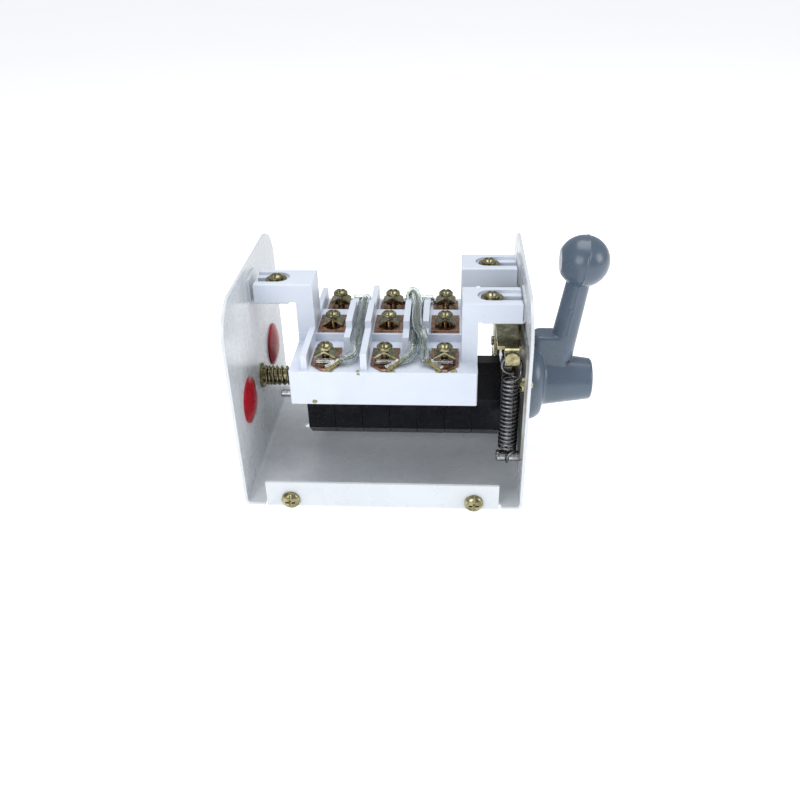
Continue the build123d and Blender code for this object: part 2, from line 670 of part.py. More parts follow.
# ---------------------------------------------------------------- shaft
ring_groove_left = -74.6
ring_groove_width = 1.0
with BuildPart() as shaft:
    rod(shaft_left, square_left, 0, shaft_z, left_journal_radius)
    rod(square_right, shaft_right, 0, shaft_z, right_journal_radius)
    chamfer(shaft.edges().filter_by(GeomType.CIRCLE).sort_by(Axis.X)[0], 0.6)
    chamfer(shaft.edges().filter_by(GeomType.CIRCLE).sort_by(Axis.X)[-1], 0.6)
    slab(square_left, square_right, -square_side / 2, square_side / 2,
         shaft_z - square_side / 2, shaft_z + square_side / 2)
    with BuildSketch(Plane.XZ):
        with Locations((ring_groove_left + ring_groove_width / 2, shaft_z + left_journal_radius)):
            Rectangle(ring_groove_width, 1.4)
    revolve(axis=shaft_axis, mode=Mode.SUBTRACT)
    # flat for the handle's set screw
    slab(80, shaft_right + 1, -6, 6, shaft_z - 6, shaft_z - right_journal_radius + 0.8, Mode.SUBTRACT)
save(shaft, "shaft")

with BuildPart() as retaining_ring:
    with BuildSketch(Plane.YZ.offset(ring_groove_left + 0.1)):
        with Locations((0, shaft_z)):
            Circle(6.6)
            Circle(left_journal_radius - 0.65, mode=Mode.SUBTRACT)
        with Locations((0, shaft_z - 6)):
            Rectangle(4.4, 8, mode=Mode.SUBTRACT)
    extrude(amount=ring_groove_width - 0.2)
save(retaining_ring, "retaining_ring")

# ---------------------------------------------------------------- drum segments and contact blades
rod_head_radius = 3.6
rod_head_length = 2.4


def blade_outline(x, grow):
    """A ring round the shaft with a fan above it, as a sketch across the shaft at x."""
    reach = blade_radius + grow
    spread = radians(blade_half_angle)
    left_tip = (-reach * sin(spread), shaft_z + reach * cos(spread))
    right_tip = (reach * sin(spread), shaft_z + reach * cos(spread))
    with BuildSketch(Plane.YZ.offset(x)) as outline:
        with BuildLine():
            Line((0, shaft_z), left_tip)
            ThreePointArc(left_tip, (0, shaft_z + reach), right_tip)
            Line(right_tip, (0, shaft_z))
        make_face()
        with Locations((0, shaft_z)):
            Circle(blade_hub_radius + grow)
    return outline.sketch


def drum_segment(index):
    """One moulding of the drum, with half-recesses for the blades that it clamps."""
    left = segment_edges[index] + seam_gap / 2
    right = segment_edges[index + 1] - seam_gap / 2
    with BuildPart() as segment:
        with BuildSketch(Plane.YZ.offset(left)):
            with BuildLine():
                Polyline((-drum_half_width + drum_chamfer, drum_bottom_z),
                         (-drum_half_width, drum_bottom_z + drum_chamfer),
                         (-drum_half_width, drum_shoulder_z), (-drum_top_half_width, drum_top_z),
                         (drum_top_half_width, drum_top_z), (drum_half_width, drum_shoulder_z),
                         (drum_half_width, drum_bottom_z + drum_chamfer),
                         (drum_half_width - drum_chamfer, drum_bottom_z), close=True)
            make_face()
        extrude(amount=right - left)
        chamfer(segment.faces().filter_by(Axis.X).edges(), 0.22)
        fillet(segment.edges().filter_by(Axis.X).group_by(Axis.Z)[0], 1.0)
        slab(left - 1, right + 1, -square_side / 2 - 0.05, square_side / 2 + 0.05,
             shaft_z - square_side / 2 - 0.05, shaft_z + square_side / 2 + 0.05, Mode.SUBTRACT)
        for side in (-1, 1):
            rod(left - 1, right + 1, side * tie_rod_y, tie_rod_z, tie_rod_radius + 0.05, Mode.SUBTRACT)
            if index == segment_count - 1:
                rod(right - rod_head_length - 0.1, right + 1, side * tie_rod_y, tie_rod_z,
                    rod_head_radius + 0.1, Mode.SUBTRACT)
        for face_x, inward in ((segment_edges[index], 1), (segment_edges[index + 1], -1)):
            if any(abs(face_x - x) < 0.1 for x in column_xs):
                extrude(blade_outline(face_x, 0.05), amount=inward * (blade_thickness / 2 + 0.03),
                        mode=Mode.SUBTRACT)
    return segment


for index in range(segment_count):
    save(drum_segment(index), f"drum_segment_{index + 1}")

with BuildPart() as contact_blades:
    for x in column_xs:
        extrude(blade_outline(x - blade_thickness / 2, 0.0), amount=blade_thickness)
    slab(drum_left, drum_right, -square_side / 2 - 0.05, square_side / 2 + 0.05,
         shaft_z - square_side / 2 - 0.05, shaft_z + square_side / 2 + 0.05, Mode.SUBTRACT)
save(contact_blades, "contact_blades")

# ---------------------------------------------------------------- tie rods and nuts
nut_left = drum_left - 5.4
with BuildPart() as tie_rods:
    for side in (-1, 1):
        rod(tie_rod_left, drum_right - 0.3, side * tie_rod_y, tie_rod_z, tie_rod_radius)
        rod(drum_right - rod_head_length, drum_right - 0.3, side * tie_rod_y, tie_rod_z, rod_head_radius)
    chamfer(tie_rods.edges().filter_by(GeomType.CIRCLE).group_by(Axis.X)[0], 0.4)
save(tie_rods, "tie_rods")

with BuildPart() as tie_nuts:
    for side in (-1, 1):
        with BuildSketch(Plane.YZ.offset(nut_left)):
            with Locations((side * tie_rod_y, tie_rod_z)):
                RegularPolygon(3.5, 6, major_radius=False)
                Circle(tie_rod_radius + 0.05, mode=Mode.SUBTRACT)
        extrude(amount=drum_left - nut_left)
save(tie_nuts, "tie_nuts")

# ---------------------------------------------------------------- thrust spring
thrust_wire = 1.4
thrust_mean_radius = 4.95
thrust_left = -plate_inner_x + bush_flange_length + 0.4 + thrust_wire / 2
thrust_right = square_left - 0.1 - thrust_wire / 2
with BuildPart() as thrust_spring:
    with BuildLine() as coil:
        Helix((thrust_right - thrust_left) / 9.5, thrust_right - thrust_left, thrust_mean_radius,
              center=(thrust_left, 0, shaft_z), direction=(1, 0, 0))
    with BuildSketch(Plane(coil.line @ 0, z_dir=coil.line % 0)):
        Circle(thrust_wire / 2)
    sweep(is_frenet=True)
save(thrust_spring, "thrust_spring")

# ---------------------------------------------------------------- detent cam
with BuildPart() as detent_cam:
    with BuildSketch(Plane.YZ.offset(cam_left)):
        with Locations((0, shaft_z)):
            Circle(cam_radius)
            Rectangle(square_side + 0.1, square_side + 0.1, mode=Mode.SUBTRACT)
        for angle in (-45, 0, 45):
            notch = cam_radius + 2.6
            with Locations((notch * sin(radians(angle)), shaft_z + notch * cos(radians(angle)))):
                Circle(roller_radius + 0.5, mode=Mode.SUBTRACT)
    extrude(amount=cam_right - cam_left)
save(detent_cam, "detent_cam")

# ---------------------------------------------------------------- handle
with BuildPart() as handle:
    with BuildSketch(Plane.XZ):
        with BuildLine():
            Polyline((handle_left, shaft_z), (handle_left, shaft_z + flange_radius - 1.2))
            ThreePointArc((handle_left, shaft_z + flange_radius - 1.2),
                          (handle_left + 0.35, shaft_z + flange_radius - 0.35),
                          (handle_left + 1.2, shaft_z + flange_radius))
            ThreePointArc((handle_left + 1.2, shaft_z + flange_radius),
                          (handle_left + 6.0, shaft_z + flange_radius - 0.9),
                          (handle_left + 9.4, shaft_z + flange_radius - 3.4))
            Polyline((handle_left + 9.4, shaft_z + flange_radius - 3.4),
                     (handle_left + 10.6, shaft_z + hub_start_radius + 0.8),
                     (handle_left + 12.0, shaft_z + hub_start_radius),
                     (hub_end - 0.8, shaft_z + hub_end_radius), (hub_end, shaft_z + hub_end_radius - 0.8),
                     (hub_end, shaft_z), (handle_left, shaft_z))
        make_face()
    revolve(axis=shaft_axis)
    # web between the flange and the arm
    with BuildSketch(Plane.XY.offset(shaft_z + 4)):
        with Locations((86.5, 0)):
            RectangleRounded(21.0, 17.0, 4.0)
    with BuildSketch(Plane.XY.offset(72.6)):
        with Locations((87.8, 0)):
            RectangleRounded(19.0, 13.0, 4.5)
    loft()
    fillet(handle.faces().filter_by(Axis.Z).sort_by(Axis.Z)[-1].edges(), 2.0)
    # arm and ball
    arm_line = ball_centre - arm_foot
    arm_low = arm_foot - arm_line.normalized() * 9
    with BuildSketch(Plane(arm_low, z_dir=arm_line)):
        Circle(arm_foot_radius + 0.2)
    with BuildSketch(Plane(ball_centre, z_dir=arm_line)):
        Circle(arm_top_radius)
    loft()
    with Locations(ball_centre):
        Sphere(ball_radius)
    # small moulded flat on the ball, and the bore with its radial screw hole
    slab(80, ball_centre.X - 11.6, -15, 15, ball_centre.Z - 15, ball_centre.Z + 15, Mode.SUBTRACT)
    rod(handle_left - 1, shaft_right + 1, 0, shaft_z, right_journal_radius + 0.03, Mode.SUBTRACT)
    with Locations((98, 0, shaft_z - 8)):
        Cylinder(2.03, 16, mode=Mode.SUBTRACT)
save(handle, "handle")

with BuildPart() as handle_set_screw:
    with Locations((98, 0, shaft_z - 7.6)):
        Cylinder(2.0, 7.6)
    chamfer(handle_set_screw.edges().filter_by(GeomType.CIRCLE), 0.3)
    with Locations((98, 0, shaft_z - 11.4)):
        Box(3.2, 0.7, 1.6, mode=Mode.SUBTRACT)
save(handle_set_screw, "handle_set_screw")
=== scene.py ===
"""Looks of a three-pole manual transfer switch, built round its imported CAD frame.

Metres, in the frame's own axes: X along the shaft, Y to the rear, Z up, floor at Z = 0.
Every finish takes its slot's name, and reads object coordinates, so it moves with its body.
"""

import json
import math
import random

import bmesh
import bpy
import numpy as np
from mathutils import Matrix, Vector, noise

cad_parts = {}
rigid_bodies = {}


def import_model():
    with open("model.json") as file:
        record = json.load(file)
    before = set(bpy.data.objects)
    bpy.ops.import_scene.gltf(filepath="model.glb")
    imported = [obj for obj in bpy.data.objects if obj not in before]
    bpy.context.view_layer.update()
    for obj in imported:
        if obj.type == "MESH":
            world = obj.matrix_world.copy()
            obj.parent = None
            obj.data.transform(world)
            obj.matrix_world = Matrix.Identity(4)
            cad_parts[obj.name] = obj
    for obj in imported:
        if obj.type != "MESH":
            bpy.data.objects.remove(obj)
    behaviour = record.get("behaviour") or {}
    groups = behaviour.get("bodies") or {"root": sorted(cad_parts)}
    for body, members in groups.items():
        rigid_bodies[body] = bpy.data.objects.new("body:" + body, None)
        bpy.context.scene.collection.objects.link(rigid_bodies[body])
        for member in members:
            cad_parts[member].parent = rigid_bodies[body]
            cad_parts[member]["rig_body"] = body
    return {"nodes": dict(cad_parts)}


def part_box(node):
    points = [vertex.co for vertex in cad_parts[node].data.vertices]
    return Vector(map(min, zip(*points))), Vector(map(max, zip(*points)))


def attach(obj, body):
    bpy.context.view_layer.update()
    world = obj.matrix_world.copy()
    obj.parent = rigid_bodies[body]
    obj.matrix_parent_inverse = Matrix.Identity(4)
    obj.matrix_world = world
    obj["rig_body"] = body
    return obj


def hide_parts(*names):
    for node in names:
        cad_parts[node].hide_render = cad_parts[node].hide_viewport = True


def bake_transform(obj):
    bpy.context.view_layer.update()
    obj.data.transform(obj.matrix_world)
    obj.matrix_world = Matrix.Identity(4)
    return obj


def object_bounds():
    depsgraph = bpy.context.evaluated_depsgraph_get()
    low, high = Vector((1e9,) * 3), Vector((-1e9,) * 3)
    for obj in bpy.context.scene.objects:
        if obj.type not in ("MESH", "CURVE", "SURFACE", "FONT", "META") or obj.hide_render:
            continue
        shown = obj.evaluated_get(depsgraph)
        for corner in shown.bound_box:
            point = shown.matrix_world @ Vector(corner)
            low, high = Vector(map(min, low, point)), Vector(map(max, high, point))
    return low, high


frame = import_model()
cad_low, cad_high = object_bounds()
MM = 0.001


# ---------------------------------------------------------------- node helpers
class Finish:
    """A procedural material: a Principled shader and the nodes that feed its sockets."""

    def __init__(self, name, **constants):
        self.material = bpy.data.materials.new(name)
        self.material.use_nodes = True
        self.tree = self.material.node_tree
        self.shader = self.tree.nodes["Principled BSDF"]
        for socket, value in constants.items():
            self.shader.inputs[socket.replace("_", " ")].default_value = value
        self.place = self.tree.nodes.new("ShaderNodeTexCoord").outputs["Object"]
        self.height = None

    def link(self, source, socket):
        """Joins an output to an input, or sets the input when source is a plain value."""
        if isinstance(source, bpy.types.NodeSocket):
            self.tree.links.new(source, socket)
        else:
            socket.default_value = source

    def stretched(self, x, y, z):
        """The object coordinates, squeezed by a factor along each axis."""
        mapping = self.tree.nodes.new("ShaderNodeMapping")
        mapping.inputs["Scale"].default_value = (x, y, z)
        self.link(self.place, mapping.inputs["Vector"])
        return mapping.outputs["Vector"]

    def noise(self, scale, detail=4.0, roughness=0.55, distortion=0.0, place=None):
        texture = self.tree.nodes.new("ShaderNodeTexNoise")
        self.link(place or self.place, texture.inputs["Vector"])
        texture.inputs["Scale"].default_value = scale
        texture.inputs["Detail"].default_value = detail
        texture.inputs["Roughness"].default_value = roughness
        texture.inputs["Distortion"].default_value = distortion
        return texture.outputs["Fac"]

    def cells(self, scale, place=None, feature="F1"):
        texture = self.tree.nodes.new("ShaderNodeTexVoronoi")
        texture.feature = feature
        self.link(place or self.place, texture.inputs["Vector"])
        texture.inputs["Scale"].default_value = scale
        return texture

    def ramp(self, source, *stops):
        """A colour ramp through (position, colour) stops; a number stands for a grey."""
        ramp = self.tree.nodes.new("ShaderNodeValToRGB")
        points = ramp.color_ramp.elements
        while len(points) < len(stops):
            points.new(0.5)
        for point, (position, colour) in zip(points, stops):
            point.position = position
            grey = isinstance(colour, (int, float))
            point.color = (colour, colour, colour, 1) if grey else (*colour, 1)
        self.link(source, ramp.inputs["Fac"])
        return ramp.outputs["Color"]

    def mix(self, share, first, second, blend="MIX"):
        """Two colours, or two greys given as colour sockets, mixed by share."""
        mix = self.tree.nodes.new("ShaderNodeMix")
        mix.data_type = "RGBA"
        mix.blend_type = blend
        for source, index in ((share, 0), (first, 6), (second, 7)):
            plain = isinstance(source, tuple)
            self.link((*source, 1) if plain else source, mix.inputs[index])
        return mix.outputs[2]

    def wear_and_highlight_edges(self, radius, low, high):
        """Near 1 along the edges of the shape, and 0 on its flats."""
        bevel = self.tree.nodes.new("ShaderNodeBevel")
        bevel.samples = 4
        bevel.inputs["Radius"].default_value = radius
        geometry = self.tree.nodes.new("ShaderNodeNewGeometry")
        dot = self.tree.nodes.new("ShaderNodeVectorMath")
        dot.operation = "DOT_PRODUCT"
        self.link(bevel.outputs["Normal"], dot.inputs[0])
        self.link(geometry.outputs["Normal"], dot.inputs[1])
        return self.ramp(dot.outputs["Value"], (low, 1.0), (high, 0.0))

    def bump(self, source, strength, depth):
        """Adds a layer of relief under the ones before it."""
        bump = self.tree.nodes.new("ShaderNodeBump")
        bump.inputs["Strength"].default_value = strength
        bump.inputs["Distance"].default_value = depth
        self.link(source, bump.inputs["Height"])
        if self.height is not None:
            self.link(self.height, bump.inputs["Normal"])
        self.height = bump.outputs["Normal"]

    def done(self, colour, roughness):
        """Joins the colour, roughness and relief to the shader, and gives the material."""
        self.link(colour, self.shader.inputs["Base Color"])
        self.link(roughness, self.shader.inputs["Roughness"])
        if self.height is not None:
            self.link(self.height, self.shader.inputs["Normal"])
        return self.material


# ---------------------------------------------------------------- finishes
def painted_sheet():
    """Light grey stove enamel on steel: orange peel, faint smudges, and a painted highlight along
    the edges, where the paint also runs thin.
    """
    f = Finish("painted_sheet", Coat_Weight=0.15, Coat_Roughness=0.12, IOR=1.45)
    tone = f.ramp(f.noise(22, 5), (0.3, (0.60, 0.63, 0.66)), (0.7, (0.65, 0.68, 0.705)))
    smudge = f.ramp(f.noise(60, 6, 0.65, 0.8), (0.62, 0.0), (0.84, 0.16))
    tone = f.mix(smudge, tone, (0.44, 0.45, 0.45))
    speck = f.ramp(f.noise(1400, 2), (0.72, 0.0), (0.78, 0.7))
    tone = f.mix(speck, tone, (0.33, 0.33, 0.32))
    # Painted highlight: the edges are lightened to stand in for light catching them, as well as for
    # thin paint.
    edge = f.wear_and_highlight_edges(0.35 * MM, 0.80, 0.97)
    tone = f.mix(edge, tone, (0.70, 0.72, 0.72))
    gloss = f.ramp(f.noise(90, 4, 0.6), (0.3, 0.24), (0.7, 0.32))
    f.bump(f.noise(900, 2, 0.4), 0.10, 0.25 * MM)
    f.bump(f.noise(160, 3), 0.02, 0.8 * MM)
    return f.done(tone, gloss)


def white_moulding():
    """Cool white urea moulding, satin: flow marks, stains and specks, chalky scuffs on its edges."""
    f = Finish("white_moulding", IOR=1.5, Subsurface_Weight=0.04, Subsurface_Scale=0.6 * MM)
    tone = f.ramp(f.noise(35, 5, 0.6, 0.6), (0.3, (0.61, 0.66, 0.75)), (0.75, (0.68, 0.725, 0.81)))
    stain = f.ramp(f.noise(75, 6, 0.7, 0.4), (0.60, 0.0), (0.82, 0.45))
    tone = f.mix(stain, tone, (0.56, 0.55, 0.51))
    speck = f.ramp(f.noise(1100, 2), (0.73, 0.0), (0.78, 0.8))
    tone = f.mix(speck, tone, (0.36, 0.35, 0.33))
    edge = f.wear_and_highlight_edges(0.5 * MM, 0.78, 0.97)
    chip = f.ramp(f.noise(500, 4, 0.7), (0.35, 0.1), (0.65, 0.9))
    tone = f.mix(f.mix(1.0, edge, chip, "MULTIPLY"), tone, (0.86, 0.88, 0.92))
    gloss = f.ramp(f.noise(120, 5, 0.6), (0.3, 0.30), (0.7, 0.48))
    f.bump(f.noise(700, 4, 0.6), 0.16, 0.3 * MM)
    f.bump(f.noise(60, 3, 0.5, 0.5), 0.10, 1.2 * MM)
    return f.done(tone, gloss)


def red_plastic():
    """Glossy red plugs with a mottled, slightly streaky moulding."""
    f = Finish("red_plastic", Coat_Weight=0.1, Coat_Roughness=0.1, IOR=1.3)
    mottle = f.noise(260, 5, 0.65, 1.2)
    tone = f.ramp(mottle, (0.3, (0.27, 0.006, 0.012)), (0.75, (0.50, 0.016, 0.032)))
    gloss = f.ramp(f.noise(400, 4), (0.3, 0.22), (0.7, 0.42))
    f.bump(f.noise(450, 4, 0.6), 0.35, 0.5 * MM)
    return f.done(tone, gloss)


def plated(name, dull, bright, tarnish, streak=900, roughness=(0.15, 0.34)):
    """A plated metal: cloudy tint, tarnish in patches, fine drawn lines."""
    f = Finish(name, Metallic=1.0)
    tone = f.ramp(f.noise(220, 5, 0.6, 0.8), (0.3, dull), (0.7, bright))
    patch = f.ramp(f.noise(420, 6, 0.7, 1.0), (0.52, 0.0), (0.72, 0.75))
    tone = f.mix(patch, tone, tarnish)
    edge = f.wear_and_highlight_edges(0.25 * MM, 0.75, 0.97)
    tone = f.mix(edge, tone, tuple(min(1.0, 1.25 * c) for c in bright))
    cloud = f.noise(650, 5, 0.65)
    gloss = f.ramp(cloud, (0.3, roughness[0]), (0.7, roughness[1]))
    f.bump(f.noise(streak, 3, 0.6, place=f.stretched(1, 1, 0.12)), 0.12, 0.15 * MM)
    f.bump(f.noise(1500, 2), 0.12, 0.1 * MM)
    return f.done(tone, gloss)


def yellow_zinc():
    """Yellow-passivated zinc, olive to straw with a faint iridescence."""
    return plated("yellow_zinc", (0.14, 0.125, 0.058), (0.46, 0.42, 0.25), (0.055, 0.045, 0.022))


def bright_zinc():
    return plated("bright_zinc", (0.16, 0.165, 0.17), (0.50, 0.50, 0.50), (0.08, 0.08, 0.078))


def copper():
    """Stamped copper strip, browned by handling, brighter where it was sheared."""
    return plated("copper", (0.17, 0.09, 0.06), (0.48, 0.29, 0.21), (0.07, 0.045, 0.03))


def brass():
    return plated("brass", (0.16, 0.13, 0.06), (0.34, 0.28, 0.15), (0.08, 0.06, 0.03))


def spring_steel():
    """Oiled drawn wire, dark with grey highlights."""
    return plated(
        "spring_steel", (0.09, 0.09, 0.095), (0.28, 0.28, 0.29), (0.04, 0.035, 0.03),
        streak=1600, roughness=(0.20, 0.36),
    )


def tinned_wire():
    return plated("tinned_wire", (0.20, 0.20, 0.195), (0.56, 0.56, 0.54), (0.09, 0.088, 0.078))


def galvanised_steel():
    """Zinc-coated sheet: vertical streaks, a faint spangle, oily brown film in places."""
    f = Finish("galvanised_steel", Metallic=0.9)
    streak = f.noise(140, 5, 0.65, 0.4, f.stretched(1, 1, 0.10))
    dark, middle, pale = (0.12, 0.125, 0.12), (0.28, 0.285, 0.28), (0.55, 0.55, 0.53)
    tone = f.ramp(streak, (0.3, dark), (0.5, middle), (0.75, pale))
    film = f.ramp(f.noise(45, 5, 0.6, 0.8), (0.48, 0.0), (0.7, 0.55))
    tone = f.mix(film, tone, (0.22, 0.18, 0.12))
    spangle = f.cells(260).outputs["Color"]
    tone = f.mix(0.12, tone, spangle, "SOFT_LIGHT")
    gloss = f.ramp(f.noise(300, 5, 0.6, 0.0, f.stretched(1, 1, 0.2)), (0.3, 0.24), (0.7, 0.48))
    f.bump(streak, 0.12, 0.3 * MM)
    return f.done(tone, gloss)


def black_moulding():
    """Gloss black phenolic: a thin dust film, uneven gloss, paler worn edges at the seams."""
    f = Finish("black_moulding", IOR=1.33)
    tone = f.ramp(f.noise(70, 5), (0.3, (0.006, 0.006, 0.008)), (0.7, (0.011, 0.011, 0.014)))
    dust = f.ramp(f.noise(800, 5, 0.7), (0.60, 0.0), (0.85, 0.12))
    tone = f.mix(dust, tone, (0.10, 0.10, 0.11))
    edge = f.wear_and_highlight_edges(0.3 * MM, 0.78, 0.97)
    tone = f.mix(edge, tone, (0.07, 0.07, 0.08))
    gloss = f.ramp(f.noise(150, 5, 0.65, 0.6), (0.3, 0.16), (0.7, 0.34))
    f.bump(f.noise(120, 4, 0.5, 0.4), 0.10, 0.6 * MM)
    return f.done(tone, gloss)


def blue_grey_plastic():
    """Slate blue-grey moulding, satin: flow clouds, light scuffs and handling marks."""
    f = Finish("blue_grey_plastic", IOR=1.5, Coat_Weight=0.3, Coat_Roughness=0.15)
    cloud = f.noise(40, 5, 0.55, 0.6)
    tone = f.ramp(cloud, (0.3, (0.062, 0.090, 0.128)), (0.72, (0.088, 0.124, 0.172)))
    scuff = f.ramp(f.noise(500, 6, 0.75, 2.0, f.stretched(1, 1, 0.35)), (0.60, 0.0), (0.76, 0.45))
    tone = f.mix(scuff, tone, (0.17, 0.21, 0.265))
    grime = f.ramp(f.noise(110, 5, 0.65), (0.58, 0.0), (0.80, 0.5))
    tone = f.mix(grime, tone, (0.05, 0.07, 0.10))
    gloss = f.ramp(f.noise(160, 5, 0.6), (0.3, 0.24), (0.7, 0.40))
    f.bump(f.noise(1300, 3, 0.5), 0.12, 0.15 * MM)
    f.bump(f.noise(130, 3, 0.5), 0.12, 0.8 * MM)
    return f.done(tone, gloss)


def clear_sleeve():
    """Clear PVC insulation with a faint green cast, nearly invisible where it is seen flat on."""
    f = Finish("clear_sleeve", IOR=1.25, Transmission_Weight=0.97)
    tone = f.ramp(f.noise(260, 4, 0.6, 0.5), (0.3, (0.84, 0.90, 0.87)), (0.7, (0.95, 0.98, 0.96)))
    gloss = f.ramp(f.noise(500, 4, 0.6), (0.3, 0.04), (0.7, 0.14))
    f.bump(f.noise(420, 3, 0.5, 0.5), 0.10, 0.2 * MM)
    return f.done(tone, gloss)


def old_flux():
    """Amber soldering flux left round the wire ends, glassy and uneven."""
    f = Finish("old_flux", IOR=1.5, Transmission_Weight=0.6)
    tone = f.ramp(f.noise(500, 5, 0.6, 0.8), (0.3, (0.34, 0.28, 0.08)), (0.7, (0.66, 0.60, 0.32)))
    gloss = f.ramp(f.noise(700, 3), (0.3, 0.15), (0.7, 0.40))
    f.bump(f.noise(900, 4, 0.6), 0.3, 0.3 * MM)
    return f.done(tone, gloss)


def pale_floor():
    """Plain pale studio floor."""
    f = Finish("pale_floor", IOR=1.3, Emission_Strength=0.52)
    tone = f.ramp(f.noise(3, 3), (0.3, 0.86), (0.7, 0.88))
    f.shader.inputs["Emission Color"].default_value = (0.97, 0.98, 1.0, 1)
    return f.done(tone, f.ramp(f.noise(5, 3), (0.3, 0.70), (0.7, 0.80)))


FINISHES = {
    make.__name__: make()
    for make in (
        painted_sheet, white_moulding, red_plastic, yellow_zinc, bright_zinc, copper, brass,
        spring_steel, tinned_wire, galvanised_steel, black_moulding, blue_grey_plastic,
        clear_sleeve, old_flux,
    )
}


# ---------------------------------------------------------------- mesh helpers
def welded(node):
    """The CAD node's mesh as a bmesh, its split corners joined."""
    shape = bmesh.new()
    shape.from_mesh(frame["nodes"][node].data)
    bmesh.ops.remove_doubles(shape, verts=shape.verts, dist=0.001 * MM)
    return shape


def new_piece(name, shape, finish):
    """A new object from a bmesh, smooth shaded and with that finish."""
    mesh = bpy.data.meshes.new(name)
    shape.to_mesh(mesh)
    shape.free()
    mesh.materials.append(FINISHES[finish])
    mesh.shade_smooth()
    piece = bpy.data.objects.new(name, mesh)
    bpy.context.scene.collection.objects.link(piece)
    return piece


def apply_modifiers(piece):
    """Bakes the modifiers of a piece into its mesh."""
    depsgraph = bpy.context.evaluated_depsgraph_get()
    made = bpy.data.meshes.new_from_object(piece.evaluated_get(depsgraph))
    piece.modifiers.clear()
    piece.data = made


def body_of(node):
    return frame["nodes"][node]["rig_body"]


def stand_for(piece, slot, *nodes):
    """The piece replaces those CAD nodes and rides on their body; slot is not used."""
    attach(piece, body_of(nodes[0]))
    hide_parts(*nodes)
    return piece


def refined(node, finish, radius=0.15, segments=2, crease=32):
    """The CAD node with its sharp edges rounded, as tooling and handling leave them."""
    shape = welded(node)
    bmesh.ops.dissolve_limit(
        shape, angle_limit=math.radians(0.6), verts=shape.verts, edges=shape.edges
    )
    piece = new_piece(node + "_finished", shape, finish)
    piece.data.set_sharp_from_angle(angle=math.radians(crease))
    bevel = piece.modifiers.new("rounded edges", "BEVEL")
    bevel.width = radius * MM
    bevel.segments = segments
    bevel.limit_method = "ANGLE"
    bevel.angle_limit = math.radians(crease)
    bevel.use_clamp_overlap = True
    bevel.miter_outer = "MITER_ARC"
    normals = piece.modifiers.new("flat faces", "WEIGHTED_NORMAL")
    normals.keep_sharp = False
    apply_modifiers(piece)
    return stand_for(piece, finish, node)


def islands(node):
    """The lowest and highest corner of each loose solid in a CAD node, always in the same order."""
    shape = welded(node)
    boxes = []
    left = set(shape.verts)
    while left:
        reached = [left.pop()]
        for vert in reached:
            for edge in vert.link_edges:
                other = edge.other_vert(vert)
                if other in left:
                    left.remove(other)
                    reached.append(other)
        places = np.array([v.co for v in reached])
        boxes.append((Vector(places.min(0)), Vector(places.max(0))))
    shape.free()
    return sorted(boxes, key=lambda box: tuple(round(c, 5) for c in box[0]))


def frames_along(path):
    """Two unit vectors across the path at each of its points, carried along without twist."""
    ways = np.gradient(path, axis=0)
    ways /= np.linalg.norm(ways, axis=1)[:, None]
    start = np.eye(3)[np.argmin(np.abs(ways[0]))]
    across = np.empty_like(path)
    across[0] = start - (start @ ways[0]) * ways[0]
    for i in range(1, len(path)):
        across[i] = across[i - 1] - (across[i - 1] @ ways[i]) * ways[i]
        across[i] /= np.linalg.norm(across[i])
    across[0] /= np.linalg.norm(across[0])
    return across, np.cross(ways, across)


def add_tube(shape, path, radius, sides=12, tip=0.0):
    """Sweeps a round wire along the path into the bmesh, closed by domed ends of height tip."""
    path = np.asarray(path, float)
    across, upright = frames_along(path)
    turn = np.linspace(0, 2 * math.pi, sides, endpoint=False)
    rings = []
    for centre, a, b in zip(path, across, upright):
        corners = centre + radius * (np.outer(np.cos(turn), a) + np.outer(np.sin(turn), b))
        rings.append([shape.verts.new(c) for c in corners])
    for low, high in zip(rings, rings[1:]):
        for i in range(sides):
            j = (i + 1) % sides
            shape.faces.new((low[i], low[j], high[j], high[i]))
    for ring, centre, inner in ((rings[0], path[0], path[1]), (rings[-1], path[-1], path[-2])):
        out = (centre - inner) / np.linalg.norm(centre - inner)
        cap = shape.verts.new(centre + out * tip)
        for i in range(sides):
            j = (i + 1) % sides
            corners = (ring[j], ring[i], cap) if ring is rings[0] else (ring[i], ring[j], cap)
            shape.faces.new(corners)


def smooth_path(points, samples=12):
    """Points on a smooth NURBS line that the given control points pull."""
    curve = bpy.data.curves.new("guide", "CURVE")
    curve.dimensions = "3D"
    spline = curve.splines.new("NURBS")
    spline.points.add(len(points) - 1)
    for point, place in zip(spline.points, points):
        point.co = (*place, 1)
    spline.order_u = 3
    spline.use_endpoint_u = True
    spline.resolution_u = samples
    guide = bpy.data.objects.new("guide", curve)
    bpy.context.scene.collection.objects.link(guide)
    mesh = guide.to_mesh()
    path = np.array([v.co for v in mesh.vertices])
    guide.to_mesh_clear()
    bpy.data.objects.remove(guide)
    bpy.data.curves.remove(curve)
    return path


# ---------------------------------------------------------------- parts taken over from the CAD
def refine_all():
    """Every rigid CAD node whose shape is right, with rounded edges and its own finish."""
    radii = {
        "chassis": 0.30, "ear_brackets": 0.25, "terminal_block": 0.38, "cable_plugs": 0.20,
        "mechanism_plate": 0.20, "plate_screws": 0.10, "detent_yoke": 0.30, "saddle_clamps": 0.18,
        "front_contacts": 0.15, "middle_contacts": 0.15, "rear_contacts": 0.15,
        "contact_blades": 0.20, "detent_cam": 0.30, "shaft": 0.15,
        "ear_screws": 0.10, "ear_washers": 0.12, "lip_screws": 0.10, "terminal_screws": 0.10,
        "anchor_pins": 0.12, "guide_studs": 0.15, "yoke_roller": 0.20, "roller_pin": 0.12,
        "bush_left": 0.15, "bush_right": 0.15, "tie_rods": 0.10, "tie_nuts": 0.20,
        "retaining_ring": 0.10, "handle_set_screw": 0.08,
    }
    for node in sorted(n for n in frame["nodes"] if n.startswith("drum_segment")):
        radii[node] = 0.35
    for node, radius in radii.items():
        refined(node, slot_of(node), radius, 3 if node == "terminal_block" else 2)


